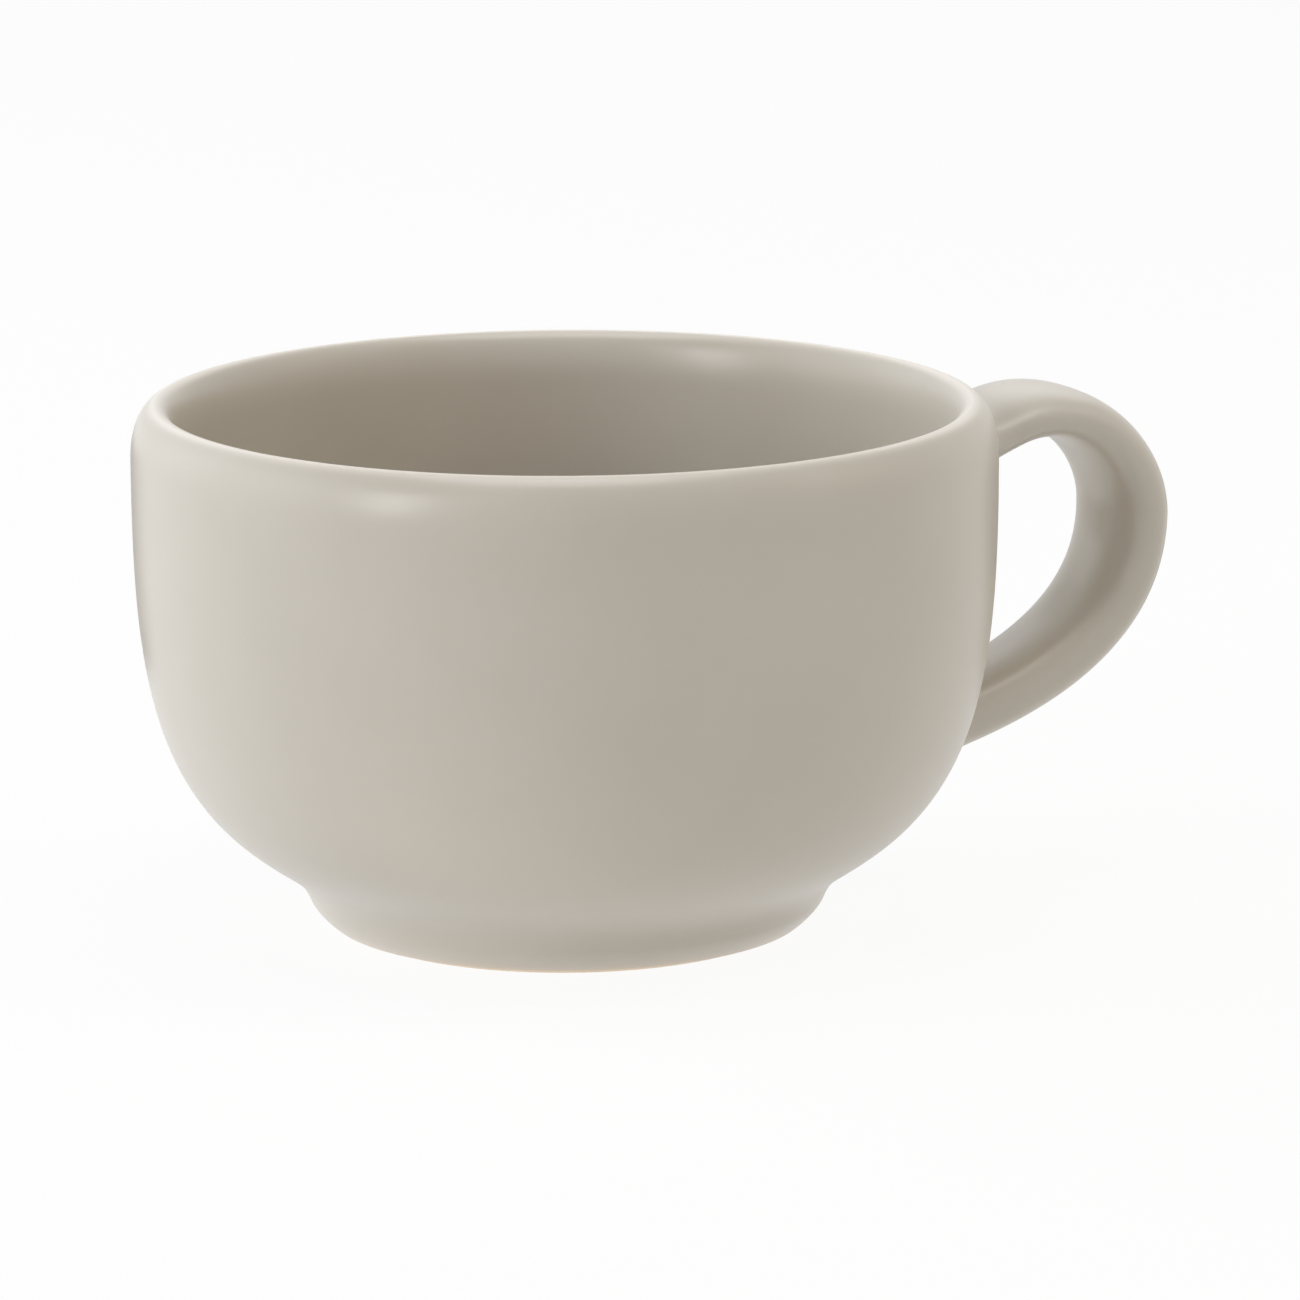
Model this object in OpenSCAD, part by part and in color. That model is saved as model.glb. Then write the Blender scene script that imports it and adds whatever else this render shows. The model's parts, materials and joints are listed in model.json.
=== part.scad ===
// Cappuccino cup in glazed stoneware: a round bowl on a turned foot ring, with a loop handle joined on
// with slip, and a satin glaze over everything but the edge that the cup rests on.
// Millimetres. The origin is the centre of the resting edge, +Z is up and the handle points along +X.

/* [Cup] */
// Height from the resting edge to the top of the glazed lip
cup_h = 64.8; // [60:0.1:72]
// Widest outside radius, over the glaze
cup_r = 52.5; // [50:0.5:56]
// Thickness of the wall below the lip, over both coats of glaze
wall_t = 5.6; // [5:0.1:6.2]
// Height of the lip's outer rounding
lip_h = 6.6; // [5:0.1:9]
// Height of the lip's inner rounding
lip_inner_h = 6.2; // [5:0.1:7.5]
// Where the lip's top lies, as a share of the wall's thickness from the outside
lip_share = 0.545; // [0.48:0.005:0.6]
// Radius at which the flare above the foot is steepest
flare_r = 39.8; // [38:0.1:41]
// Height at which the flare above the foot is steepest
flare_z = 12; // [11:0.1:13]
// Angle of the flare there, from level
flare_angle = 39; // [35:1:43]
// Clay thickness of the floor
floor_t = 5.5; // [4:0.1:7]
// Radius of the flat part of the floor
floor_r = 18; // [12:0.5:22]

/* [Foot] */
// Height of the foot ring
foot_h = 4; // [3.2:0.1:4.8]
// Outside radius of the foot ring where it meets the bowl
foot_r = 31; // [30:0.1:32]
// Outside radius of the flat resting edge
rest_r = 26; // [25:0.1:27]
// Width of the flat resting edge
rest_w = 2.5; // [1.5:0.1:3.5]
// Rounding of the foot ring's inner edge
foot_inner_round = 1.5; // [1:0.1:2]
// Share of the foot's outer curve that is left bare, from the resting edge up
bare_share = 0.4; // [0.36:0.01:0.7]

/* [Handle] */
// How far the handle's centre line stands out from the cup's widest radius
handle_out = 23.2; // [20:0.1:27]
// Drop from the lip's top to the handle's outermost point
turn_drop = 19.2; // [17:0.1:21]
// Drop from the lip's top to the start of the upper arm
upper_drop = 11.2; // [10.5:0.1:12.5]
// Angle at which the upper arm climbs away from the wall
upper_angle = 42.4; // [38:0.1:46]
// Height of the end of the lower arm
lower_z = 19.8; // [18.5:0.1:21.5]
// Angle at which the lower arm climbs away from the wall
lower_angle = 13; // [10:0.1:18]
// Thickness of the upper arm, over the glaze
upper_t = 5.2; // [4.6:0.1:6.2]
// Thickness at the outermost point, over the glaze
turn_t = 8.2; // [6.5:0.1:8.6]
// Thickness of the lower arm, over the glaze
lower_t = 8; // [6.6:0.1:8.4]
// Width of the upper arm, over the glaze
upper_w = 19.5; // [16:0.1:20]
// Width of the lower arm, over the glaze
lower_w = 14.3; // [12:0.1:15.5]
// Squareness of the handle's section: 2 is an ellipse, larger is squarer
section_power = 2.5; // [2.2:0.1:4]

/* [Slip joints and glaze] */
// Thickness of the glaze
glaze_t = 0.5; // [0.3:0.05:0.6]
// Thickness of the slip between the wall and the handle's end
slip_t = 0.6; // [0.4:0.1:1]
// Width of the bead of slip around the handle's end
bead_w = 1.4; // [1:0.1:1.8]
// Room between the slip and the wall it is pressed on, and around it in the glaze
seat_gap = 0.08; // [0.06:0.01:0.12]

/* [Hidden] */

clay_colour = [0.80, 0.67, 0.53];
slip_colour = [0.72, 0.66, 0.57];
glaze_colour = [0.78, 0.75, 0.70];
$fn = 96;

// Points along each stretch of the cup's outline
foot_steps = 6;
crease_steps = 10;
belly_steps = 22;
lip_steps = 10;
rim_steps = 10;
wall_steps = 24;

// Angle of the foot's side at its top
foot_side_angle = 68;

// Straight leads that shape each curve of the outline, as shares of the room between the curve's ends
foot_edge_share = 0.203;
foot_side_share = 0.25;
crease_low_share = 0.3616;
crease_high_share = 0.5129;
belly_low_share = 0.9173;
belly_high_share = 0.4677;
lip_lead_share = 0.86;
lip_top_share = 0.1;
rim_top_share = 0.605;
rim_lead_share = 0.677;
edge_round_share = 0.55;

// How the inside follows the outside, as shares of the wall and of the room between flare and wall
inner_belly_in_share = 0.122;
inner_belly_up_share = 0.335;
inner_floor_share = 0.132;

// Leads of the handle's centre line as shares of its spans, its depths below the glazed wall, and its steps
upper_lead_share = 0.69;
turn_high_share = 0.339;
turn_low_share = 0.358;
lower_lead_share = 0.435;
upper_depth = 1.56;
lower_depth = 2.06;
upper_start = 0.175;
lower_end = 0.855;
upper_steps = 17;
lower_steps = 15;
section_sides = 24;
fillet_steps = 5;
pad_shares = [0.25, 0.5, 0.75];
longest_travel = 25;
search_steps = 30;

// Heights and radii that follow from the sizes above
clay_r = cup_r - glaze_t;
clay_h = cup_h - glaze_t;
belly_z = cup_h - lip_h;
lip_top_r = cup_r - lip_share * wall_t;
inner_r = cup_r - wall_t + glaze_t;
rim_z = clay_h - lip_inner_h;
floor_z = foot_h + floor_t;
rest_in_r = rest_r - rest_w;
foot_in_r = rest_in_r - foot_inner_round;

// A point and a direction on a cubic curve with four control points
function bezier(p, t) =
    (1 - t) ^ 3 * p[0] + 3 * (1 - t) ^ 2 * t * p[1] + 3 * (1 - t) * t ^ 2 * p[2] + t ^ 3 * p[3];
function bezier_dir(p, t) =
    let (d = (1 - t) ^ 2 * (p[1] - p[0]) + 2 * (1 - t) * t * (p[2] - p[1]) + t ^ 2 * (p[3] - p[2])) d / norm(d);

// A stretch of a curve as pairs of point and direction
function stretch(p, steps, from = 0, to = 1) =
    [for (i = [0:steps]) let (t = from + (to - from) * i / steps) [bezier(p, t), bezier_dir(p, t)]];
function tail(list) = [for (i = [1:len(list) - 1]) list[i]];
function backwards(list) = [for (i = [len(list) - 1:-1:0]) list[i]];
function polar(length, angle) = length * [cos(angle), sin(angle)];
function between(a, b, share) = a + (b - a) * share;

// The cup's outline in clay, up the outside from the resting edge and down the inside to the floor
rest_edge = [rest_r, 0];
foot_top = [foot_r, foot_h];
flare = [flare_r, flare_z];
widest = [clay_r, belly_z];
lip_top = [lip_top_r, clay_h];
rim_inside = [inner_r, rim_z];
floor_edge = [floor_r, floor_z];

foot_span = norm(foot_top - rest_edge);
crease_span = norm(flare - foot_top);
belly_low = flare + polar(belly_low_share * (clay_r - flare_r) / cos(flare_angle), flare_angle);
inner_belly = [inner_r - inner_belly_in_share * wall_t, belly_low[1] + inner_belly_up_share * wall_t];
inner_floor = [between(flare_r, inner_r, inner_floor_share), floor_z];

foot_curve = [rest_edge, rest_edge + [foot_edge_share * foot_span, 0],
              foot_top - polar(foot_side_share * foot_span, foot_side_angle), foot_top];
crease_curve = [foot_top, foot_top + polar(crease_low_share * crease_span, foot_side_angle),
                flare - polar(crease_high_share * crease_span, flare_angle), flare];
belly_curve = [flare, belly_low, widest - [0, belly_high_share * (belly_z - flare_z)], widest];
lip_curve = [widest, widest + [0, lip_lead_share * (clay_h - belly_z)],
             lip_top + [lip_top_share * (clay_r - lip_top_r), 0], lip_top];
rim_curve = [lip_top, lip_top - [rim_top_share * (lip_top_r - inner_r), 0],
             rim_inside + [0, rim_lead_share * lip_inner_h], rim_inside];
wall_curve = [rim_inside, inner_belly, inner_floor, floor_edge];

bare_path = stretch(foot_curve, foot_steps, 0, bare_share);
side_path = stretch(foot_curve, foot_steps, bare_share, 1);
wall_out_path = concat(stretch(crease_curve, crease_steps), tail(stretch(belly_curve, belly_steps)),
                       tail(stretch(lip_curve, lip_steps)));
outside_path = concat(side_path, tail(wall_out_path));
floor_centre = [[0, floor_z], [-1, 0]];
inside_path = concat(stretch(rim_curve, rim_steps), tail(stretch(wall_curve, wall_steps)), [floor_centre]);

// The clay's surface along a path, and the glaze's surface over it
function clay(path) = [for (s = path) s[0]];
function coat(path) = [for (s = path) s[0] + glaze_t * [s[1][1], -s[1][0]]];
function by_height(points) = [for (p = points) [p[1], p[0]]];
clay_by_height = by_height(clay(outside_path));
coat_by_height = by_height(coat(outside_path));

// The handle's centre line, as stations of place, direction, thickness and width
upper_z = cup_h - upper_drop;
upper_root = [lookup(upper_z, coat_by_height) - upper_depth, upper_z];
lower_root = [lookup(lower_z, coat_by_height) - lower_depth, lower_z];
turn = [cup_r + handle_out, cup_h - turn_drop];
upper_span = norm(turn - upper_root);
lower_span = norm(turn - lower_root);
middle_w = (upper_w + lower_w) / 2;
upper_curve = [upper_root, upper_root + polar(upper_lead_share * upper_span, upper_angle),
               turn + [0, turn_high_share * upper_span], turn];
lower_curve = [turn, turn - [0, turn_low_share * lower_span],
               lower_root + polar(lower_lead_share * lower_span, lower_angle), lower_root];
function station(p, s, t0, t1, w0, w1) =
    [bezier(p, s), bezier_dir(p, s), between(t0, t1, s), between(w0, w1, s)];
stations = concat(
    [for (i = [0:upper_steps]) let (s = between(upper_start, 1, i / upper_steps))
        station(upper_curve, s, upper_t, turn_t, upper_w, middle_w)],
    [for (i = [1:lower_steps]) let (s = lower_end * i / lower_steps)
        station(lower_curve, s, turn_t, lower_t, middle_w, lower_w)]);
first_station = stations[0];
last_station = stations[len(stations) - 1];

// A rounded section across the centre line at a station, with a coat of the given thickness on the clay
function signed_power(x) = sign(x) * abs(x) ^ (2 / section_power);
function across(i) = signed_power(sin(360 * i / section_sides));
function outward(i) = signed_power(cos(360 * i / section_sides));
function ring(station, thickness) =
    let (c = station[0], d = station[1],
         half_t = station[2] / 2 - glaze_t + thickness, half_w = station[3] / 2 - glaze_t + thickness)
    [for (i = [0:section_sides - 1])
        [c[0] - d[1] * half_t * outward(i), half_w * across(i), c[1] + d[0] * half_t * outward(i)]];

// A point moved along a direction until it stands a given height off a surface of revolution
function travel(p, d, surface, height, low, high, steps) =
    let (m = (low + high) / 2, q = p + m * d)
    steps == 0 ? m
        : norm([q[0], q[1]]) > lookup(q[2], surface) + height
            ? travel(p, d, surface, height, m, high, steps - 1)
            : travel(p, d, surface, height, low, m, steps - 1);
function onto(p, d, surface, height) = p + d * travel(p, d, surface, height, 0, longest_travel, search_steps);
function ring_onto(points, d, surface, height) = [for (p = points) onto(p, d, surface, height)];
function in_space(v) = [v[0], 0, v[1]];

// Where the handle's two ends meet the slip on the wall
upper_way = -in_space(first_station[1]);
lower_way = in_space(last_station[1]);
upper_end_ring = ring_onto(ring(first_station, 0), upper_way, clay_by_height, seat_gap + slip_t);
lower_end_ring = ring_onto(ring(last_station, 0), lower_way, clay_by_height, seat_gap + slip_t);
upper_end_centre = onto(in_space(first_station[0]), upper_way, clay_by_height, seat_gap + slip_t);
lower_end_centre = onto(in_space(last_station[0]), lower_way, clay_by_height, seat_gap + slip_t);

// Triangles between two rings, and from a ring to a centre point; turned swaps the side that faces out
function facing(triangle, turned) = turned ? [triangle[2], triangle[1], triangle[0]] : triangle;
function strip(a, b, turned = false) =
    [for (i = [0:section_sides - 1])
        let (n = (i + 1) % section_sides, ai = a * section_sides, bi = b * section_sides)
        each [facing([ai + i, ai + n, bi + n], turned), facing([ai + i, bi + n, bi + i], turned)]];
function start_cap(a, centre, turned = false) =
    [for (i = [0:section_sides - 1])
        let (n = (i + 1) % section_sides, ai = a * section_sides) facing([centre, ai + n, ai + i], turned)];
function end_cap(a, centre, turned = false) =
    [for (i = [0:section_sides - 1])
        let (n = (i + 1) % section_sides, ai = a * section_sides) facing([centre, ai + i, ai + n], turned)];
function joined(rings) = [for (r = rings) each r];

// The bead's outline on the wall, seen along X: middle height, half width, half height and which way is outward
function bead_frame(station, way) =
    let (corner = ring_onto(ring(station, glaze_t), way, coat_by_height, 0), zs = [for (p = corner) p[2]])
    [(max(zs) + min(zs)) / 2, station[3] / 2 + bead_w, (max(zs) - min(zs)) / 2 + bead_w, sign(station[1][0])];
function bead_point(bead, share, spare, i) =
    [(share * bead[1] + spare) * across(i), bead[0] + bead[3] * (share * bead[2] + spare) * outward(i)];
function bead_outline(bead, share = 1, spare = 0) =
    [for (i = [0:section_sides - 1]) bead_point(bead, share, spare, i)];
function on_surface(outline, surface, height) =
    [for (p = outline) [sqrt((lookup(p[1], surface) + height) ^ 2 - p[0] ^ 2), p[0], p[1]]];

upper_bead = bead_frame(first_station, upper_way);
lower_bead = bead_frame(last_station, lower_way);

// A bead of slip: a pad on the wall, a hollow fillet up to the handle's glaze and a socket for the handle's end
module slip_joint(station, way, bead, end_ring, end_centre, turned) {
    edge = on_surface(bead_outline(bead), coat_by_height, 0);
    corner = ring_onto(ring(station, glaze_t), way, coat_by_height, 0);
    top = ring(station, glaze_t);
    pad = [for (share = pad_shares) on_surface(bead_outline(bead, share), clay_by_height, seat_gap)];
    seat = on_surface(bead_outline(bead), clay_by_height, seat_gap);
    fillet = [for (k = [0:fillet_steps]) let (s = k / fillet_steps)
        (1 - s) ^ 2 * edge + 2 * s * (1 - s) * corner + s ^ 2 * top];
    rings = concat(pad, [seat], fillet, [ring(station, 0), end_ring]);
    socket = len(rings) - 2;
    bottom = len(rings) - 1;
    wall_centre = len(rings) * section_sides;
    pad_centre = [lookup(bead[0], clay_by_height) + seat_gap, 0, bead[0]];
    polyhedron(
        points = concat(joined(rings), [pad_centre, end_centre]),
        faces = concat(
            start_cap(0, wall_centre, turned),
            [for (k = [0:socket - 1]) each strip(k, k + 1, turned)],
            turned ? strip(socket, bottom, true) : strip(bottom, socket, true),
            end_cap(bottom, wall_centre + 1, turned)));
}

// The hole in the outer glaze for a bead of slip
module bead_hole(bead) {
    rotate([90, 0, 90]) linear_extrude(cup_r + handle_out) polygon(bead_outline(bead, 1, seat_gap));
}

module turned_solid(outline) {
    rotate_extrude() polygon(outline);
}

module bowl() {
    color(clay_colour) turned_solid(concat(clay(wall_out_path), clay(tail(inside_path)), [[0, foot_h]]));
}

module foot_ring() {
    inner_edge = [[foot_in_r, foot_inner_round], [foot_in_r, foot_inner_round * (1 - edge_round_share)],
                  [rest_in_r - foot_inner_round * (1 - edge_round_share), 0], [rest_in_r, 0]];
    color(clay_colour) turned_solid(concat(
        clay(bare_path), clay(tail(side_path)), [[foot_in_r, foot_h]], clay(stretch(inner_edge, foot_steps))));
}

module handle() {
    rings = concat([upper_end_ring], [for (s = stations) ring(s, 0)], [lower_end_ring]);
    last = len(rings) - 1;
    first_centre = len(rings) * section_sides;
    color(clay_colour) polyhedron(
        points = concat(joined(rings), [upper_end_centre, lower_end_centre]),
        faces = concat(start_cap(0, first_centre), [for (k = [0:last - 1]) each strip(k, k + 1)],
                       end_cap(last, first_centre + 1)));
}

module upper_slip_joint() {
    color(slip_colour)
        slip_joint(first_station, upper_way, upper_bead, upper_end_ring, upper_end_centre, false);
}

module lower_slip_joint() {
    color(slip_colour)
        slip_joint(last_station, lower_way, lower_bead, lower_end_ring, lower_end_centre, true);
}

module liner_glaze() {
    color(glaze_colour) turned_solid(concat(clay(inside_path), backwards(coat(inside_path))));
}

module outer_glaze() {
    color(glaze_colour) difference() {
        turned_solid(concat(clay(outside_path), backwards(coat(outside_path))));
        bead_hole(upper_bead);
        bead_hole(lower_bead);
    }
}

module handle_glaze() {
    count = len(stations);
    rings = concat([for (s = stations) ring(s, glaze_t)], [for (s = stations) ring(s, 0)]);
    color(glaze_colour) polyhedron(
        points = joined(rings),
        faces = concat(
            [for (k = [0:count - 2]) each strip(k, k + 1)],
            [for (k = [0:count - 2]) each strip(count + k, count + k + 1, true)],
            strip(count, 0), strip(count - 1, 2 * count - 1)));
}

module base_glaze() {
    color(glaze_colour) translate([0, 0, foot_h - glaze_t]) cylinder(h = glaze_t, r = foot_in_r);
}

bowl();
foot_ring();
handle();
upper_slip_joint();
lower_slip_joint();
liner_glaze();
outer_glaze();
handle_glaze();
base_glaze();
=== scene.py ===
"""Looks of a stoneware cappuccino cup: its glaze coats, handle, bare foot, finishes, light and camera.

Every shape is a numpy surface in metres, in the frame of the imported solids: the origin is the centre of the
resting edge, +Z is up and the handle points along +X. Profiles are pairs of radius and height.
"""
import json

import bpy
import numpy as np
from mathutils import Matrix, Vector


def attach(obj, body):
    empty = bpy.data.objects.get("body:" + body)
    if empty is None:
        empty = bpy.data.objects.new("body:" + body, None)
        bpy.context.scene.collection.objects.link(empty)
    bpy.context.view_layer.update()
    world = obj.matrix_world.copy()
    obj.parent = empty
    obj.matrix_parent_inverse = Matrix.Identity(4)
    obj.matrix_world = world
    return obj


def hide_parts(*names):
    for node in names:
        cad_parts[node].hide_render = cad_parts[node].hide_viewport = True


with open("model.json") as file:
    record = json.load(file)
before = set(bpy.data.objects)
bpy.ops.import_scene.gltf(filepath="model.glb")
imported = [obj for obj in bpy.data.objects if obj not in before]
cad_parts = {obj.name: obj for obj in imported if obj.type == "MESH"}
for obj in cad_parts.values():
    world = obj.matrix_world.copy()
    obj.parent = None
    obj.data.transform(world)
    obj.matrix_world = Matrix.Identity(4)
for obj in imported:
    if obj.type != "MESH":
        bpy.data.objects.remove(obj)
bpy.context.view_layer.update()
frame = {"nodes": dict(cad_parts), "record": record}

MM = 0.001

# Cup, as in the part's source
CUP_H = 64.8 * MM
CUP_R = 52.5 * MM
WALL_T = 5.6 * MM
LIP_H = 6.6 * MM
LIP_INNER_H = 6.2 * MM
LIP_SHARE = 0.545
FLARE = np.array([39.8, 12]) * MM
FLARE_ANGLE = np.radians(39)
FLOOR_T = 5.5 * MM
FLOOR_R = 18 * MM
GLAZE_T = 0.5 * MM

# Foot
FOOT_H = 4 * MM
FOOT_R = 31 * MM
FOOT_SIDE_ANGLE = np.radians(68)
REST_R = 26 * MM
REST_W = 2.5 * MM
FOOT_INNER_ROUND = 1.5 * MM
BARE_SHARE = 0.4

# Leads of the outline's curves, as shares of the sizes beside them
FOOT_EDGE_SHARE = 0.203
FOOT_SIDE_SHARE = 0.25
CREASE_LOW_SHARE = 0.3616
CREASE_HIGH_SHARE = 0.5129
BELLY_LOW_SHARE = 0.9173
BELLY_HIGH_SHARE = 0.4677
LIP_LEAD_SHARE = 0.86
LIP_TOP_SHARE = 0.1
RIM_TOP_SHARE = 0.605
RIM_LEAD_SHARE = 0.677
EDGE_ROUND_SHARE = 0.55
INNER_BELLY_IN_SHARE = 0.122
INNER_BELLY_UP_SHARE = 0.335
INNER_FLOOR_SHARE = 0.132

# Handle
HANDLE_OUT = 23.2 * MM
TURN_DROP = 19.2 * MM
UPPER_DROP = 11.2 * MM
UPPER_ANGLE = np.radians(42.4)
UPPER_DEPTH = 1.56 * MM
LOWER_Z = 19.8 * MM
LOWER_ANGLE = np.radians(13)
LOWER_DEPTH = 2.06 * MM
UPPER_T = 5.2 * MM
TURN_T = 8.2 * MM
LOWER_T = 8 * MM
UPPER_W = 19.5 * MM
LOWER_W = 14.3 * MM
SECTION_POWER = 2.5
UPPER_LEAD_SHARE = 0.69
TURN_HIGH_SHARE = 0.339
TURN_LOW_SHARE = 0.358
LOWER_LEAD_SHARE = 0.435
UPPER_START = 0.175
LOWER_END = 0.855
BEAD_W = 1.4 * MM

# Edges and thin places of the coats and the foot, which the solids leave plain
COAT_T = 0.48 * MM
GLAZE_ROLL = 0.6 * MM
THIN_REACH = 0.9 * MM
# Reach of the painted highlight on the lip: a paler glaze colour that stands in for the light along the lip's
# crest
LIP_HIGHLIGHT_REACH = 0.7 * MM
EDGE_SINK = 0.02 * MM
CAP_SINK = 0.25 * MM
GROOVE_DEPTH = 0.05 * MM
GROOVE_PITCH = 0.55 * MM
BASE_FILLET = 1.6 * MM
BASE_COAT_EDGE = 1.4 * MM

# Fineness of the meshes, in steps
ROUND_STEPS = 256
FOOT_STEPS = 24
CREASE_STEPS = 18
BELLY_STEPS = 56
LIP_STEPS = 30
WALL_STEPS = 70
FLOOR_STEPS = 16
REST_STEPS = 48
FOOT_SIDE_STEPS = 40
INNER_EDGE_STEPS = 14
BASE_DISC_STEPS = 23
BASE_FILLET_STEPS = 20
BASE_EDGE_STEPS = 10
SECTION_STEPS = 96
SECTION_TRIALS = 1920
FILLET_STEPS = 14
CAP_STEPS = 4
ARM_STEPS = 70
SEARCH_STEPS = 40
WELD = 0.0005 * MM


def polar(length, angle):
    """A step of the given length at the given angle from level."""
    return length * np.array([np.cos(angle), np.sin(angle)])


def cubic(curve, t):
    """Points of a cubic curve: its four control points in the Bernstein shares of t."""
    a, b, c, d = curve
    t = np.asarray(t)[:, None]
    s = 1 - t
    return s**3 * a + 3 * s**2 * t * b + 3 * s * t**2 * c + t**3 * d


def cubic_way(curve, t):
    """Unit directions of a cubic curve: its three leads in the squared shares of t, made one long."""
    a, b, c, d = curve
    t = np.asarray(t)[:, None]
    s = 1 - t
    way = s**2 * (b - a) + 2 * s * t * (c - b) + t**2 * (d - c)
    return way / np.linalg.norm(way, axis=1, keepdims=True)


def right_of(way):
    """Directions turned a quarter turn clockwise, which is outward on a profile that goes up the outside."""
    return np.stack([way[:, 1], -way[:, 0]], axis=1)


def along(*stretches):
    """Points and outward normals along curves that follow each other, each given with its values of t."""
    points = [cubic(curve, t[1:] if k else t) for k, (curve, t) in enumerate(stretches)]
    normals = [right_of(cubic_way(curve, t[1:] if k else t)) for k, (curve, t) in enumerate(stretches)]
    return np.concatenate(points), np.concatenate(normals)


def even(steps, start=0.0, end=1.0):
    """Evenly spaced values from start to end, the given number of steps apart."""
    return np.linspace(start, end, steps + 1)


def run_length(points):
    """Distance along a profile from its first point: the running sum of the lengths of its steps."""
    return np.concatenate([[0], np.cumsum(np.linalg.norm(np.diff(points, axis=0), axis=1))])


def profile_normals(points):
    """Unit normals of a profile: its direction by differences along its length, turned clockwise."""
    way = np.gradient(points, run_length(points), axis=0)
    return right_of(way / np.linalg.norm(way, axis=1, keepdims=True))


def turned(profile, normals):
    """A profile carried round the cup's axis: x = r cos a, y = r sin a and z = z, at equal steps of a."""
    a = np.arange(ROUND_STEPS) * 2 * np.pi / ROUND_STEPS
    spoke = np.stack([np.cos(a), np.sin(a), np.zeros_like(a)], axis=1)
    up = np.array([0.0, 0.0, 1.0])
    return tuple(p[:, :1, None] * spoke + p[:, 1:, None] * up for p in (profile, normals))


def stitched(name, patches, thin=None, lip=None):
    """One closed mesh from grids of points and normals that wrap round in their second direction.

    Points of different grids that lie in one place become one vertex, squares that close to a line or a pole
    lose their doubled corner, and a grid whose faces look against its normals is turned round. Each corner
    of a face keeps its grid's normal. thin gives each grid's rows a share of thinned glaze, and lip a share
    of the painted highlight along the lip's crest, each from 0 to 1, which the mesh keeps as attributes.
    """
    all_points, all_normals = [], []
    all_thin, all_lip_highlight = [], []
    squares = []
    start = 0
    for k, (points, normals) in enumerate(patches):
        rows, columns = points.shape[:2]
        index = start + np.arange(rows * columns).reshape(rows, columns)
        index = np.concatenate([index, index[:, :1]], axis=1)
        four = [index[:-1, :-1], index[:-1, 1:], index[1:, 1:], index[1:, :-1]]
        square = np.stack(four, axis=-1).reshape(-1, 4)
        flat = points.reshape(-1, 3)
        across = np.cross(flat[square[:, 2] - start] - flat[square[:, 0] - start],
                          flat[square[:, 3] - start] - flat[square[:, 1] - start])
        if np.sum(across * normals.reshape(-1, 3)[square[:, 0] - start]) < 0:
            square = square[:, ::-1]
        squares.append(square)
        all_points.append(flat)
        all_normals.append(normals.reshape(-1, 3))
        for values, gathered in ((thin, all_thin), (lip, all_lip_highlight)):
            row_values = np.zeros(rows) if values is None else values[k]
            gathered.append(np.repeat(row_values, columns))
        start += rows * columns
    points = np.concatenate(all_points)
    corners = np.concatenate(squares)
    _, first, merged = np.unique(np.round(points / WELD).astype(np.int64), axis=0,
                                 return_index=True, return_inverse=True)
    faces = merged.reshape(-1)[corners]
    kept = faces != np.roll(faces, -1, axis=1)
    whole = kept.sum(axis=1) >= 3
    faces, kept, corners = faces[whole], kept[whole], corners[whole]
    sizes = kept.sum(axis=1)

    mesh = bpy.data.meshes.new(name)
    mesh.vertices.add(len(first))
    mesh.vertices.foreach_set("co", points[first].ravel())
    mesh.loops.add(int(sizes.sum()))
    mesh.loops.foreach_set("vertex_index", faces[kept].astype(np.int32))
    mesh.polygons.add(len(sizes))
    mesh.polygons.foreach_set("loop_start", (np.cumsum(sizes) - sizes).astype(np.int32))
    mesh.polygons.foreach_set("use_smooth", np.ones(len(sizes), dtype=bool))
    for attribute, gathered in (("glaze_thin", all_thin), ("lip_painted_highlight", all_lip_highlight)):
        layer = mesh.attributes.new(attribute, "FLOAT", "POINT")
        layer.data.foreach_set("value", np.concatenate(gathered)[first].astype(np.float32))
    mesh.update(calc_edges=True)
    mesh.validate()
    mesh.normals_split_custom_set(np.concatenate(all_normals)[corners[kept]].tolist())
    piece = bpy.data.objects.new(name, mesh)
    bpy.context.scene.collection.objects.link(piece)
    return piece


def between(a, b, share):
    """The value that lies the given share of the way from a to b."""
    return a + (b - a) * share


# Outline of the clay, up the outside from the resting edge and down the inside to the floor
clay_r = CUP_R - GLAZE_T
clay_h = CUP_H - GLAZE_T
inner_r = CUP_R - WALL_T + GLAZE_T
floor_z = FOOT_H + FLOOR_T
rest_edge = np.array([REST_R, 0])
foot_top = np.array([FOOT_R, FOOT_H])
widest = np.array([clay_r, CUP_H - LIP_H])
lip_top = np.array([CUP_R - LIP_SHARE * WALL_T, clay_h])
rim_inside = np.array([inner_r, clay_h - LIP_INNER_H])
floor_edge = np.array([FLOOR_R, floor_z])
foot_span = np.linalg.norm(foot_top - rest_edge)
crease_span = np.linalg.norm(FLARE - foot_top)
level, upright = np.array([1.0, 0.0]), np.array([0.0, 1.0])
belly_low = FLARE + polar(BELLY_LOW_SHARE * (clay_r - FLARE[0]) / np.cos(FLARE_ANGLE), FLARE_ANGLE)
inner_belly = np.array([inner_r - INNER_BELLY_IN_SHARE * WALL_T,
                        belly_low[1] + INNER_BELLY_UP_SHARE * WALL_T])
inner_floor = np.array([between(FLARE[0], inner_r, INNER_FLOOR_SHARE), floor_z])

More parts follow.
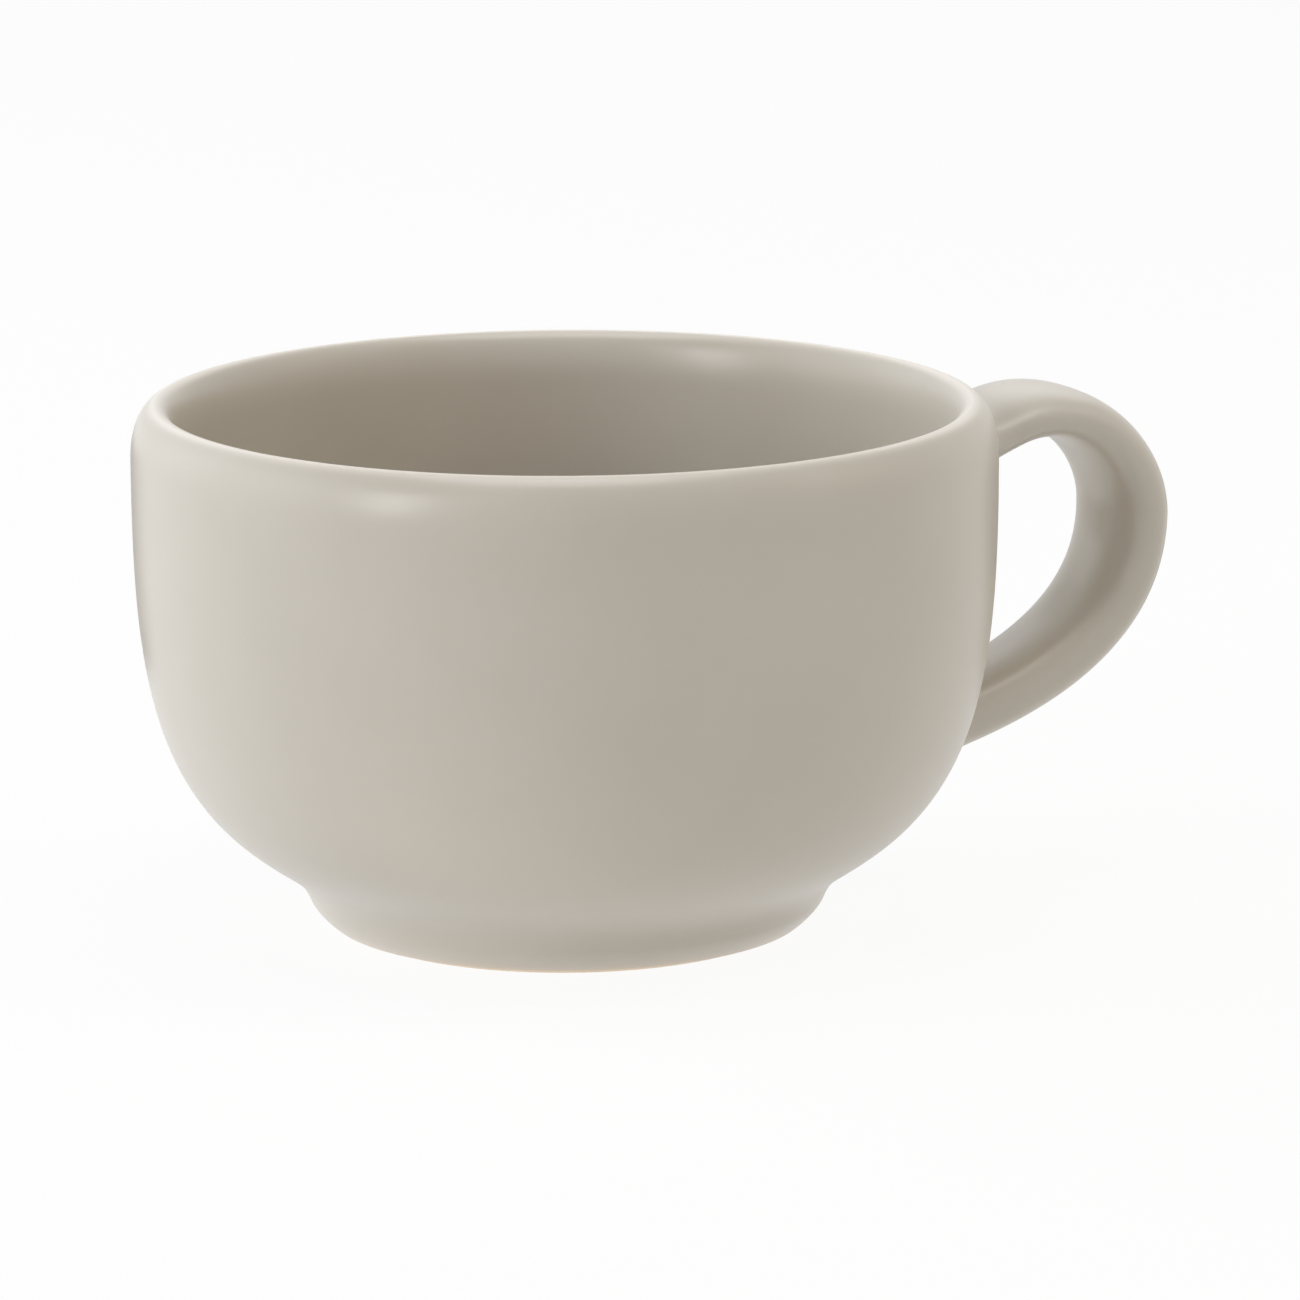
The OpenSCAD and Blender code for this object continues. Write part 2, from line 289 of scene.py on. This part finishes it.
foot_curve = (rest_edge, rest_edge + FOOT_EDGE_SHARE * foot_span * level,
              foot_top - polar(FOOT_SIDE_SHARE * foot_span, FOOT_SIDE_ANGLE), foot_top)
crease_curve = (foot_top, foot_top + polar(CREASE_LOW_SHARE * crease_span, FOOT_SIDE_ANGLE),
                FLARE - polar(CREASE_HIGH_SHARE * crease_span, FLARE_ANGLE), FLARE)
belly_curve = (FLARE, belly_low, widest - BELLY_HIGH_SHARE * (widest[1] - FLARE[1]) * upright, widest)
lip_curve = (widest, widest + LIP_LEAD_SHARE * (clay_h - widest[1]) * upright,
             lip_top + LIP_TOP_SHARE * (clay_r - lip_top[0]) * level, lip_top)
rim_curve = (lip_top, lip_top - RIM_TOP_SHARE * (lip_top[0] - inner_r) * level,
             rim_inside + RIM_LEAD_SHARE * LIP_INNER_H * upright, rim_inside)
wall_curve = (rim_inside, inner_belly, inner_floor, floor_edge)
floor_middle = np.array([0, floor_z])
floor_curve = (floor_edge, between(floor_edge, floor_middle, 1 / 3),
               between(floor_edge, floor_middle, 2 / 3), floor_middle)

glazed_foot = between(BARE_SHARE, 1, even(FOOT_STEPS) ** 2)
outside, outside_normals = along((foot_curve, glazed_foot), (crease_curve, even(CREASE_STEPS)),
                                 (belly_curve, even(BELLY_STEPS)), (lip_curve, even(LIP_STEPS)))
inside, inside_normals = along((rim_curve, even(LIP_STEPS)), (wall_curve, even(WALL_STEPS)),
                               (floor_curve, even(FLOOR_STEPS)))
from_edge = run_length(outside)


def make_outer_coat():
    """The glaze on the outside: the clay's outline moved out along its normals by the coat's thickness,
    which grows from nothing at the bare foot as a quarter of an ellipse, and carried round the axis."""
    build = np.sqrt(1 - (1 - np.minimum(from_edge / GLAZE_ROLL, 1)) ** 2)
    skin = outside + COAT_T * build[:, None] * outside_normals
    skin_normals = profile_normals(skin)
    skin_normals[-1] = upright
    seam = np.stack([skin[-1], outside[-1]])
    thin_at_foot = np.exp(-from_edge / THIN_REACH)
    # Painted highlight: a paler glaze colour that fades down the outside from the lip's top, standing in for
    # the light on the lip
    painted_highlight_at_lip = np.exp(-((from_edge[-1] - from_edge) / LIP_HIGHLIGHT_REACH) ** 2)
    return stitched("outer_coat",
                    [turned(skin, skin_normals), turned(outside, -outside_normals),
                     turned(seam, np.stack([-level, -level]))],
                    thin=[thin_at_foot, thin_at_foot, np.zeros(len(seam))],
                    lip=[painted_highlight_at_lip, painted_highlight_at_lip, np.ones(len(seam))])


def make_liner_coat():
    """The glaze on the inside: the clay's outline from the lip's top to the floor's centre, moved out along
    its normals by the glaze's thickness and carried round the axis."""
    skin = inside + GLAZE_T * inside_normals
    skin_normals = profile_normals(skin)
    skin_normals[0] = upright
    skin_normals[-1] = upright
    seam = np.stack([skin[0], inside[0]])
    # Painted highlight: a paler glaze colour that fades down the inside from the lip's top, standing in for
    # the light on the lip
    painted_highlight_at_lip = np.exp(-(run_length(inside) / LIP_HIGHLIGHT_REACH) ** 2)
    return stitched("liner_coat",
                    [turned(skin, skin_normals), turned(inside, -inside_normals),
                     turned(seam, np.stack([level, level]))],
                    lip=[painted_highlight_at_lip, painted_highlight_at_lip, np.ones(len(seam))])


def make_bare_foot():
    """The turned foot ring in bare clay: the foot's outline, its flat resting edge with shallow turning
    grooves, its rounded inner edge, its inner wall and its top, carried round the axis."""
    rest_in = REST_R - REST_W
    wall_in = rest_in - FOOT_INNER_ROUND
    square_share = 1 - EDGE_ROUND_SHARE
    inner_edge = (np.array([wall_in, FOOT_INNER_ROUND]),
                  np.array([wall_in, FOOT_INNER_ROUND * square_share]),
                  np.array([rest_in - FOOT_INNER_ROUND * square_share, 0]),
                  np.array([rest_in, 0]))
    across = even(REST_STEPS)
    groove = (1 - np.cos(2 * np.pi * np.round(REST_W / GROOVE_PITCH) * across)) / 2
    rest = np.stack([between(rest_in, REST_R, across), GROOVE_DEPTH * groove], axis=1)
    foot_side, _ = along((foot_curve, even(FOOT_SIDE_STEPS)))
    inner, _ = along((inner_edge, even(INNER_EDGE_STEPS)))
    top = np.stack([foot_top, np.array([wall_in, FOOT_H])])
    wall = np.stack([np.array([wall_in, FOOT_H]), inner[0]])
    parts = [inner, rest, foot_side, top, wall]
    return stitched("bare_foot", [turned(p, profile_normals(p)) for p in parts])


def make_base_coat():
    """The glaze in the foot's recess: a level disc whose edge turns down the recess's wall in a hollow
    fillet, a quarter circle, and thins to nothing as a quarter of an ellipse, carried round the axis."""
    wall_in = REST_R - REST_W - FOOT_INNER_ROUND
    low_z = FOOT_H - GLAZE_T
    turn = even(BASE_FILLET_STEPS, 0, np.pi / 2)
    fillet = np.stack([wall_in - GLAZE_T / 2 - BASE_FILLET * (1 - np.sin(turn)),
                       low_z - BASE_FILLET * (1 - np.cos(turn))], axis=1)
    drop = even(BASE_EDGE_STEPS)
    edge = np.stack([wall_in - GLAZE_T / 2 * np.sqrt(1 - drop**2),
                     between(low_z - BASE_FILLET, BASE_COAT_EDGE, drop)], axis=1)
    disc_r = even(BASE_DISC_STEPS, 0, fillet[0, 0])
    disc = np.stack([disc_r, np.full_like(disc_r, low_z)], axis=1)
    under = np.concatenate([disc, fillet[1:], edge[1:]])
    back = np.stack([edge[-1], np.array([wall_in, FOOT_H])])
    top = np.stack([np.array([wall_in, FOOT_H]), np.array([0, FOOT_H])])
    thin = np.clip((low_z - under[:, 1]) / (low_z - BASE_COAT_EDGE), 0, 1) ** 2
    return stitched("base_coat", [turned(p, profile_normals(p)) for p in (under, back, top)],
                    thin=[thin, np.ones(len(back)), np.zeros(len(top))])


# Outline of the glazed outside, by which the handle finds the wall
skin_line = outside + GLAZE_T * outside_normals


def wall_radius(z):
    """Radius of the glazed outside at a height."""
    return np.interp(z, skin_line[:, 1], skin_line[:, 0])


def wall_normal(points):
    """Outward normals of the glazed outside at points on it: the outline's, turned to each point's angle."""
    out = np.interp(points[..., 2], skin_line[:, 1], outside_normals[:, 0])
    up = np.interp(points[..., 2], skin_line[:, 1], outside_normals[:, 1])
    spoke = points[..., :2] / np.linalg.norm(points[..., :2], axis=-1, keepdims=True)
    return np.concatenate([out[..., None] * spoke, up[..., None]], axis=-1)


def onto_wall(points, way):
    """Points moved along a direction until they meet the glazed outside, found by halving the step."""
    low, high = np.zeros(len(points)), np.full(len(points), CUP_R / 2)
    for _ in range(SEARCH_STEPS):
        step = (low + high) / 2
        place = points + step[:, None] * way
        clear = np.linalg.norm(place[:, :2], axis=1) > wall_radius(place[:, 2])
        low, high = np.where(clear, step, low), np.where(clear, high, step)
    return points + low[:, None] * way


def on_wall(y, z, depth):
    """Points of the glazed outside, sunk by a depth, at given places across and up."""
    return np.stack([np.sqrt((wall_radius(z) - depth) ** 2 - y**2), y, z], axis=-1)


def section():
    """A soft-cornered section of half width and half thickness one, in equal steps along its length: sine
    and cosine with their sizes raised to two over the section's power."""
    a = even(SECTION_TRIALS, 0, 2 * np.pi)
    across = np.sign(np.sin(a)) * np.abs(np.sin(a)) ** (2 / SECTION_POWER)
    outward = np.sign(np.cos(a)) * np.abs(np.cos(a)) ** (2 / SECTION_POWER)
    length = run_length(np.stack([UPPER_W * across, TURN_T * outward], axis=1))
    at = np.linspace(0, length[-1], SECTION_STEPS, endpoint=False)
    return np.interp(at, length, across), np.interp(at, length, outward)


def make_handle_coat():
    """The glazed handle: a soft-cornered section carried along two curves that meet at the outermost point,
    with a hollow fillet to the wall at each end (the edge on the wall, the corner and the arm's end ring, in
    the squared shares of the way between) and a cap sunk in the wall's glaze."""
    upper_root = np.array([wall_radius(CUP_H - UPPER_DROP) - UPPER_DEPTH, CUP_H - UPPER_DROP])
    lower_root = np.array([wall_radius(LOWER_Z) - LOWER_DEPTH, LOWER_Z])
    turn = np.array([CUP_R + HANDLE_OUT, CUP_H - TURN_DROP])
    upper_span = np.linalg.norm(turn - upper_root)
    lower_span = np.linalg.norm(turn - lower_root)
    upper = (upper_root, upper_root + polar(UPPER_LEAD_SHARE * upper_span, UPPER_ANGLE),
             turn + TURN_HIGH_SHARE * upper_span * upright, turn)
    lower = (turn, turn - TURN_LOW_SHARE * lower_span * upright,
             lower_root + polar(LOWER_LEAD_SHARE * lower_span, LOWER_ANGLE), lower_root)
    t_up = even(ARM_STEPS, UPPER_START, 1)
    t_low = even(ARM_STEPS, 0, LOWER_END)[1:]
    centre = np.concatenate([cubic(upper, t_up), cubic(lower, t_low)])
    way = np.concatenate([cubic_way(upper, t_up), cubic_way(lower, t_low)])
    middle_w = (UPPER_W + LOWER_W) / 2
    thick = np.concatenate([between(UPPER_T, TURN_T, t_up), between(TURN_T, LOWER_T, t_low)]) / 2
    wide = np.concatenate([between(UPPER_W, middle_w, t_up), between(middle_w, LOWER_W, t_low)]) / 2
    across, outward = section()
    arm = np.stack([centre[:, :1] - way[:, 1:] * thick[:, None] * outward,
                    wide[:, None] * across,
                    centre[:, 1:] + way[:, :1] * thick[:, None] * outward], axis=-1)

    fillets, caps = [], []
    share = even(FILLET_STEPS)[:, None, None]
    for ring, heading, half_w in ((arm[0], -way[0], wide[0]), (arm[-1], way[-1], wide[-1])):
        corner = onto_wall(ring, np.array([heading[0], 0, heading[1]]))
        high, low = corner[:, 2].max(), corner[:, 2].min()
        rise = np.sign(ring[0, 2] - ring[SECTION_STEPS // 2, 2]) * ((high - low) / 2 + BEAD_W) * outward
        reach = (half_w + BEAD_W) * across
        edge = on_wall(reach, (high + low) / 2 + rise, EDGE_SINK)
        fillets.append((1 - share) ** 2 * edge + 2 * share * (1 - share) * corner + share**2 * ring)
        shrink = even(CAP_STEPS, 1, 0)[:, None]
        cap = on_wall(shrink * reach, (high + low) / 2 + shrink * rise, CAP_SINK)
        caps.append(np.concatenate([edge[None], cap]))
    skin = np.concatenate([fillets[0], arm[1:-1], fillets[1][::-1]])
    round_way = np.roll(skin, -1, axis=1) - np.roll(skin, 1, axis=1)
    normals = np.cross(round_way, np.gradient(skin, axis=0))
    normals /= np.linalg.norm(normals, axis=-1, keepdims=True)
    outward_look = np.sum(normals * (skin - skin.mean(axis=1, keepdims=True)))
    normals *= np.sign(outward_look)
    normals[0] = wall_normal(skin[0])
    normals[-1] = wall_normal(skin[-1])
    return stitched("handle_coat", [(skin, normals)] + [(cap, -wall_normal(cap)) for cap in caps])


# Curve of a screen's colour values
SCREEN_WHITE = 255
SCREEN_KNEE = 0.04045
SCREEN_SLOPE = 12.92
SCREEN_OFFSET = 0.055
SCREEN_POWER = 2.4

# Noise of the fired grain
CLOUD_DETAIL = 3.0
GRAIN_DETAIL = 2.0
NOISE_ROUGHNESS = 0.55
NOISE_LOW = 0.3
NOISE_HIGH = 0.7

# Sockets of a Mix node that mixes colours
MIX_FIRST = 6
MIX_SECOND = 7
MIX_RESULT = 2


def add(tree, kind, **values):
    """Adds a node to a tree and sets its properties, or its inputs where the name is that of an input."""
    node = tree.nodes.new(kind)
    for name, value in values.items():
        if hasattr(node, name):
            setattr(node, name, value)
        else:
            node.inputs[name.replace("_", " ")].default_value = value
    return node


def linear(red, green, blue):
    """A colour written in the 0 to 255 values of a screen, as the linear values that a shader takes."""
    c = np.array([red, green, blue]) / SCREEN_WHITE
    low = c / SCREEN_SLOPE
    high = ((c + SCREEN_OFFSET) / (1 + SCREEN_OFFSET)) ** SCREEN_POWER
    return (*np.where(c <= SCREEN_KNEE, low, high), 1.0)


def make_fired_grain():
    """Node group of what firing leaves in a surface: soft clouds of tone and a fine grain, each 0 to 1."""
    group = bpy.data.node_groups.new("fired_grain", "ShaderNodeTree")
    group.interface.new_socket("Vector", in_out="INPUT", socket_type="NodeSocketVector")
    for name in ("Cloud Scale", "Grain Scale"):
        group.interface.new_socket(name, in_out="INPUT", socket_type="NodeSocketFloat")
    for name in ("Clouds", "Grain"):
        group.interface.new_socket(name, in_out="OUTPUT", socket_type="NodeSocketFloat")
    given = add(group, "NodeGroupInput")
    result = add(group, "NodeGroupOutput")
    for scale, output, detail in (("Cloud Scale", "Clouds", CLOUD_DETAIL),
                                  ("Grain Scale", "Grain", GRAIN_DETAIL)):
        noise = add(group, "ShaderNodeTexNoise", Detail=detail, Roughness=NOISE_ROUGHNESS)
        spread = add(group, "ShaderNodeMapRange", From_Min=NOISE_LOW, From_Max=NOISE_HIGH)
        group.links.new(given.outputs["Vector"], noise.inputs["Vector"])
        group.links.new(given.outputs[scale], noise.inputs["Scale"])
        group.links.new(noise.outputs["Fac"], spread.inputs["Value"])
        group.links.new(spread.outputs["Result"], result.inputs[output])
    return group


def fired_material(name, cloud_scale, grain_scale):
    """A new material with a Principled shader and the fired grain group on Object coordinates."""
    material = bpy.data.materials.new(name)
    material.use_nodes = True
    tree = material.node_tree
    shader = tree.nodes["Principled BSDF"]
    place = add(tree, "ShaderNodeTexCoord")
    grain = add(tree, "ShaderNodeGroup", node_tree=fired_grain)
    grain.inputs["Cloud Scale"].default_value = cloud_scale
    grain.inputs["Grain Scale"].default_value = grain_scale
    tree.links.new(place.outputs["Object"], grain.inputs["Vector"])
    return material, tree, shader, grain


def blend_colours(tree, share, first, second):
    """A Mix node of two colours, each a colour or an output, by a share that is an output."""
    mix = add(tree, "ShaderNodeMix", data_type="RGBA")
    tree.links.new(share, mix.inputs["Factor"])
    for socket, colour in ((mix.inputs[MIX_FIRST], first), (mix.inputs[MIX_SECOND], second)):
        if isinstance(colour, tuple):
            socket.default_value = colour
        else:
            tree.links.new(colour, socket)
    return mix.outputs[MIX_RESULT]


def make_satin_glaze():
    """Warm grey satin glaze: faint clouds of tone, a soft sheen that changes with them, a skin with a faint
    orange peel, the clay's tone coming through where the coat thins, and a painted highlight: a paler line
    over the lip's crest."""
    material, tree, shader, grain = fired_material("satin_glaze", CLOUD_SCALE, PEEL_SCALE)
    tone = blend_colours(tree, grain.outputs["Clouds"], GLAZE_DEEP, GLAZE_PALE)
    edge = add(tree, "ShaderNodeAttribute", attribute_name="glaze_thin")
    tone = blend_colours(tree, edge.outputs["Fac"], tone, GLAZE_THIN)
    # Painted highlight: the glaze on the lip's crest is mixed towards a paler colour, in place of the bright
    # lit line along the lip
    lip = add(tree, "ShaderNodeAttribute", attribute_name="lip_painted_highlight")
    tone = blend_colours(tree, lip.outputs["Fac"], tone, GLAZE_LIP_HIGHLIGHT)
    tree.links.new(tone, shader.inputs["Base Color"])
    sheen = add(tree, "ShaderNodeMapRange", To_Min=GLAZE_SMOOTHEST, To_Max=GLAZE_ROUGHEST)
    tree.links.new(grain.outputs["Clouds"], sheen.inputs["Value"])
    tree.links.new(sheen.outputs["Result"], shader.inputs["Roughness"])
    peel = add(tree, "ShaderNodeBump", Strength=PEEL_STRENGTH, Distance=PEEL_DEPTH)
    tree.links.new(grain.outputs["Grain"], peel.inputs["Height"])
    tree.links.new(peel.outputs["Normal"], shader.inputs["Normal"])
    shader.inputs["IOR"].default_value = GLAZE_IOR
    return material


def make_bare_clay():
    """Bare fired clay: matt, mottled from cream to tan, with a gritty skin."""
    material, tree, shader, grain = fired_material("bare_clay", CLAY_CLOUD_SCALE, GRIT_SCALE)
    tone = blend_colours(tree, grain.outputs["Clouds"], CLAY_DEEP, CLAY_PALE)
    tone = blend_colours(tree, grain.outputs["Grain"], tone, CLAY_CREAM)
    tree.links.new(tone, shader.inputs["Base Color"])
    shader.inputs["Roughness"].default_value = CLAY_ROUGHNESS
    grit = add(tree, "ShaderNodeBump", Strength=GRIT_STRENGTH, Distance=GRIT_DEPTH)
    tree.links.new(grain.outputs["Grain"], grit.inputs["Height"])
    tree.links.new(grit.outputs["Normal"], shader.inputs["Normal"])
    return material


# Tones, sheen and skin of the glaze and the clay, and the paler colour of the painted highlight on the lip
GLAZE_DEEP = linear(196, 189, 177)
GLAZE_PALE = linear(201, 194, 183)
GLAZE_THIN = linear(226, 206, 181)
# Paler colour of the painted highlight along the lip's crest
GLAZE_LIP_HIGHLIGHT = linear(228, 221, 211)
GLAZE_SMOOTHEST = 0.29
GLAZE_ROUGHEST = 0.34
GLAZE_IOR = 1.6
CLOUD_SCALE = 34.0
PEEL_SCALE = 650.0
PEEL_STRENGTH = 0.2
PEEL_DEPTH = 0.02 * MM
CLAY_DEEP = linear(232, 208, 177)
CLAY_PALE = linear(242, 222, 195)
CLAY_CREAM = linear(247, 233, 212)
CLAY_ROUGHNESS = 0.88
CLAY_CLOUD_SCALE = 160.0
GRIT_SCALE = 2600.0
GRIT_STRENGTH = 0.5
GRIT_DEPTH = 0.05 * MM

fired_grain = make_fired_grain()
satin_glaze = make_satin_glaze()
bare_clay = make_bare_clay()

# Pieces, each riding on the cup's one body in place of the solids that it stands for
DRESSING = (
    (make_outer_coat(), satin_glaze, "glaze", ("outer_glaze",)),
    (make_liner_coat(), satin_glaze, "glaze", ("liner_glaze",)),
    (make_handle_coat(), satin_glaze, "glaze", ("handle_glaze", "upper_slip_joint", "lower_slip_joint")),
    (make_bare_foot(), bare_clay, "clay", ("foot_ring",)),
    (make_base_coat(), satin_glaze, "glaze", ("base_glaze",)),
)
for piece, finish, slot, nodes in DRESSING:
    piece.data.materials.append(finish)
    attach(piece, "root")
    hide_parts(*nodes)

NODE_FINISH = {"clay": bare_clay, "slip": bare_clay, "glaze": satin_glaze}
for subpart in frame["record"]["subparts"]:
    node = frame["nodes"][subpart["node"]]
    node.data.materials.clear()
    node.data.materials.append(NODE_FINISH[subpart["material_slot"]])

# Stage: a pale floor that is nearly white to what looks at it, with a glow round the foot, and dark cards
FLOOR_HALF = 3.0
FLOOR_GAP = 0.02 * MM
FLOOR_WHITE = 0.92
FLOOR_GLOW = 0.07
FOOT_GLOW = 0.48
GLOW_NEAR = 36 * MM
GLOW_FAR = 46 * MM
FLOOR_COLOUR = linear(250, 250, 250)
WHITE = (1.0, 1.0, 1.0, 1.0)
CARD_COLOUR = linear(40, 40, 40)
CARD_R = 0.15
CARD_H = 0.045
CARD_STEPS = 13
CARD_NEAR = 28
CARD_FAR = 47

# Camera, at the photograph's viewing angle
FOCUS = Vector((0, 0, 33 * MM))
CAMERA_AZIMUTH = -23.5
CAMERA_ELEVATION = 11.98
CAMERA_DISTANCE = 1.0526
CAMERA_ROLL = np.radians(-0.338)
CAMERA_LENS = 239.76
AIM_RIGHT = 10.2 * MM
AIM_UP = 0.85 * MM
SENSOR = 36.0


def way_to(azimuth, elevation):
    """Direction from the cup at an azimuth, from -Y round towards +X, and an elevation, both in degrees."""
    a, e = np.radians(azimuth), np.radians(elevation)
    return Vector((np.sin(a) * np.cos(e), -np.cos(a) * np.cos(e), np.sin(e)))


def seen_directly(tree):
    """A value of 1 for camera, glossy and transmission rays and 0 for the rest."""
    path = add(tree, "ShaderNodeLightPath")
    first = add(tree, "ShaderNodeMath", operation="MAXIMUM")
    second = add(tree, "ShaderNodeMath", operation="MAXIMUM")
    tree.links.new(path.outputs["Is Camera Ray"], first.inputs[0])
    tree.links.new(path.outputs["Is Glossy Ray"], first.inputs[1])
    tree.links.new(first.outputs[0], second.inputs[0])
    tree.links.new(path.outputs["Is Transmission Ray"], second.inputs[1])
    return second.outputs[0]


def make_floor():
    """A square floor just under the resting edge, in part matt and in part a plain white glow. The glow has
    the greater share to what looks at the floor, and for other rays a small one that grows near the
    foot."""
    mesh = bpy.data.meshes.new("floor")
    half, low = FLOOR_HALF, -FLOOR_GAP
    mesh.from_pydata([(-half, -half, low), (half, -half, low), (half, half, low), (-half, half, low)], [],
                     [(0, 1, 2, 3)])
    floor = bpy.data.objects.new("floor", mesh)
    bpy.context.scene.collection.objects.link(floor)
    material = bpy.data.materials.new("floor_white")
    material.use_nodes = True
    tree = material.node_tree
    tree.nodes.clear()
    matt = add(tree, "ShaderNodeBsdfDiffuse", Color=FLOOR_COLOUR)
    plain = add(tree, "ShaderNodeEmission", Color=WHITE, Strength=1.0)
    share = add(tree, "ShaderNodeMapRange", To_Max=FLOOR_WHITE)
    place = add(tree, "ShaderNodeTexCoord")
    reach = add(tree, "ShaderNodeVectorMath", operation="LENGTH")
    glow = add(tree, "ShaderNodeMapRange", From_Min=GLOW_NEAR, From_Max=GLOW_FAR, To_Min=FOOT_GLOW,
               To_Max=FLOOR_GLOW)
    mix = add(tree, "ShaderNodeMixShader")
    result = add(tree, "ShaderNodeOutputMaterial")
    tree.links.new(place.outputs["Object"], reach.inputs[0])
    tree.links.new(reach.outputs["Value"], glow.inputs["Value"])
    tree.links.new(glow.outputs["Result"], share.inputs["To Min"])
    tree.links.new(seen_directly(tree), share.inputs["Value"])
    tree.links.new(share.outputs["Result"], mix.inputs[0])
    tree.links.new(matt.outputs[0], mix.inputs[1])
    tree.links.new(plain.outputs[0], mix.inputs[2])
    tree.links.new(mix.outputs[0], result.inputs["Surface"])
    mesh.materials.append(material)


def make_edge_card(name, start, end):
    """A dark curved card behind the cup that shows only in its gloss, to draw the cup's edge: a strip of a
    cylinder round the cup, from one angle to another off the line that the camera looks along."""
    a = np.radians(CAMERA_AZIMUTH + 180 - np.linspace(start, end, CARD_STEPS))
    foot_line = np.stack([np.sin(a) * CARD_R, -np.cos(a) * CARD_R, np.zeros_like(a)], axis=1)
    points = np.concatenate([foot_line, foot_line + [0, 0, CARD_H]])
    k = np.arange(CARD_STEPS - 1)
    squares = np.stack([k, k + 1, k + 1 + CARD_STEPS, k + CARD_STEPS], axis=1)
    mesh = bpy.data.meshes.new(name)
    mesh.from_pydata(points.tolist(), [], squares.tolist())
    material = bpy.data.materials.new(name)
    material.use_nodes = True
    material.node_tree.nodes["Principled BSDF"].inputs["Base Color"].default_value = CARD_COLOUR
    mesh.materials.append(material)
    card = bpy.data.objects.new(name, mesh)
    card.visible_camera = False
    card.visible_diffuse = False
    card.visible_shadow = False
    bpy.context.scene.collection.objects.link(card)


def make_world():
    """A white background to what looks at it, and an even fill for everything else."""
    world = bpy.data.worlds.new("studio")
    world.use_nodes = True
    tree = world.node_tree
    background = tree.nodes["Background"]
    background.inputs["Color"].default_value = WHITE
    level_of = add(tree, "ShaderNodeMapRange", To_Min=FILL, To_Max=1.0)
    tree.links.new(seen_directly(tree), level_of.inputs["Value"])
    tree.links.new(level_of.outputs["Result"], background.inputs["Strength"])
    bpy.context.scene.world = world


def lamp(name, azimuth, elevation, width, height, power, colour, in_gloss=False):
    """A rectangular lamp that looks at the cup's middle, from an azimuth to the left of the camera. The soft
    lamps don't show in the gloss, so that only the lamps in_gloss draw highlights."""
    light = bpy.data.lights.new(name, "AREA")
    light.shape = "RECTANGLE"
    light.size, light.size_y = width, height
    light.energy = power
    light.color = colour
    piece = bpy.data.objects.new(name, light)
    piece.visible_glossy = in_gloss
    back = way_to(CAMERA_AZIMUTH - azimuth, elevation)
    facing = back.to_track_quat("Z", "Y").to_matrix().to_4x4()
    piece.matrix_world = Matrix.Translation(FOCUS + LAMP_DISTANCE * back) @ facing
    bpy.context.scene.collection.objects.link(piece)


def make_camera():
    """A long lens that looks a little to the right of the cup's middle, so that cup and handle fill the
    frame."""
    back = way_to(CAMERA_AZIMUTH, CAMERA_ELEVATION)
    level_right = way_to(CAMERA_AZIMUTH + 90, 0)
    level_up = back.cross(level_right)
    right = level_right * np.cos(CAMERA_ROLL) + level_up * np.sin(CAMERA_ROLL)
    up = level_up * np.cos(CAMERA_ROLL) - level_right * np.sin(CAMERA_ROLL)
    place = FOCUS + CAMERA_DISTANCE * back
    back = (place - (FOCUS + AIM_RIGHT * right + AIM_UP * up)).normalized()
    right = up.cross(back).normalized()
    up = back.cross(right)
    data = bpy.data.cameras.new("camera")
    data.lens = CAMERA_LENS
    data.sensor_width = SENSOR
    camera = bpy.data.objects.new("camera", data)
    camera.matrix_world = Matrix.Translation(place) @ Matrix((right, up, back)).transposed().to_4x4()
    bpy.context.scene.collection.objects.link(camera)
    bpy.context.scene.camera = camera


# Light: even fill from all round, plain key, back and top lamps that draw the highlights, cool lamps on the
# left and warm ones in front and on the right
FILL = 0.1
LAMP_DISTANCE = 1.2
COOL = (0.9, 0.95, 1.0)
PLAIN = (1.0, 1.0, 1.0)
WARM = (1.0, 0.94, 0.83)

make_floor()
make_world()
make_edge_card("left_card", -CARD_FAR, -CARD_NEAR)
make_edge_card("right_card", CARD_NEAR, CARD_FAR)
make_camera()
lamp("key", azimuth=46, elevation=18, width=0.3, height=0.6, power=2.8, colour=PLAIN, in_gloss=True)
lamp("left", azimuth=80, elevation=20, width=0.5, height=0.8, power=4.7, colour=COOL)
lamp("left_back", azimuth=125, elevation=15, width=0.5, height=0.7, power=6.2, colour=COOL)
lamp("back", azimuth=180, elevation=30, width=1.0, height=0.5, power=1.2, colour=PLAIN, in_gloss=True)
lamp("top", azimuth=0, elevation=86, width=0.8, height=0.8, power=4.8, colour=PLAIN, in_gloss=True)
lamp("front_low", azimuth=0, elevation=9, width=0.7, height=0.14, power=1.0, colour=WARM)
lamp("right", azimuth=-85, elevation=40, width=0.6, height=0.8, power=4.0, colour=WARM)
lamp("right_back", azimuth=-110, elevation=20, width=0.6, height=0.8, power=1.3, colour=WARM)
bpy.context.scene.view_settings.view_transform = "Standard"
